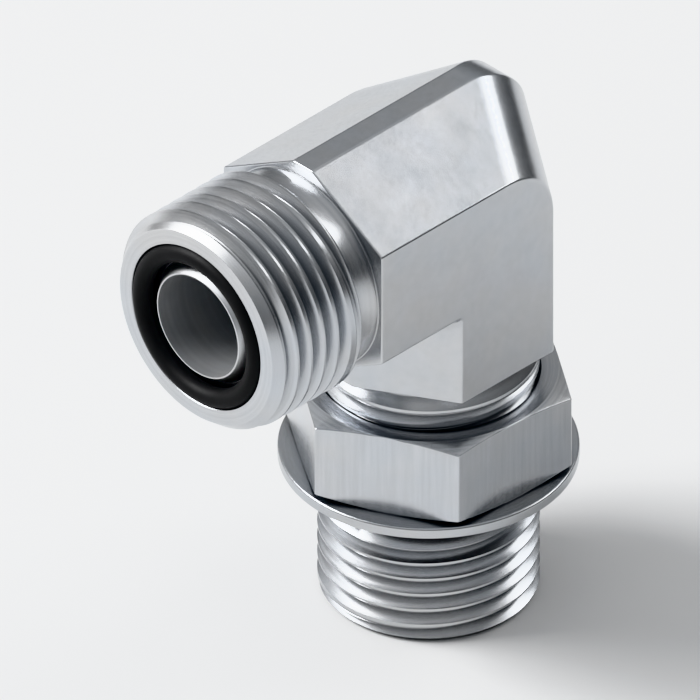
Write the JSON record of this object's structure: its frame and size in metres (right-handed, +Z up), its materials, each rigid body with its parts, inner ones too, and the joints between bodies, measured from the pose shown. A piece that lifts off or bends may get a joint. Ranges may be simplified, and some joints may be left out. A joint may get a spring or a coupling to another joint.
{
  "type": "hydraulic elbow adapter",
  "caption": "Right-angle hydraulic adapter from an O-ring face-seal thread to an adjustable straight-thread stud with locknut, back-up washer and O-rings.",
  "frame": {"origin": "centre of the end face of the adjustable stud", "axes": "+Z up along the stud's axis, away from the port it screws into; the face-seal end points along -Y; X is across the wrench flats of the elbow"},
  "size_m": [0.0256, 0.0411, 0.0504],
  "materials": {
    "plated_body": "clear zinc plate on forged and machined steel",
    "plated_nut": "clear zinc plate on cold-formed steel",
    "plated_washer": "clear zinc plate on blanked steel",
    "face_seal_rubber": "moulded nitrile rubber, black",
    "port_seal_rubber": "moulded nitrile rubber, black"
  },
  "bodies": {
    "elbow": {"elbow_body": "plated_body", "face_seal_oring": "face_seal_rubber", "port_oring": "port_seal_rubber"},
    "washer": {"backup_washer": "plated_washer"},
    "nut": {"locknut": "plated_nut"}
  },
  "joints": [
    {"name": "washer_slide", "type": "slide", "parent": "elbow", "child": "washer", "axis": [0, 0, 1], "range_m": [0, 0.0017]},
    {"name": "nut_turn", "type": "hinge", "parent": "washer", "child": "nut", "pos_m": [0, 0, 0.01818], "axis": [0, 0, 1], "range_deg": [0, 385]}
  ],
  "couplings": [
    {"joint": "washer_slide", "follows": "nut_turn", "m_per_rad": 0.00025266}
  ]
}
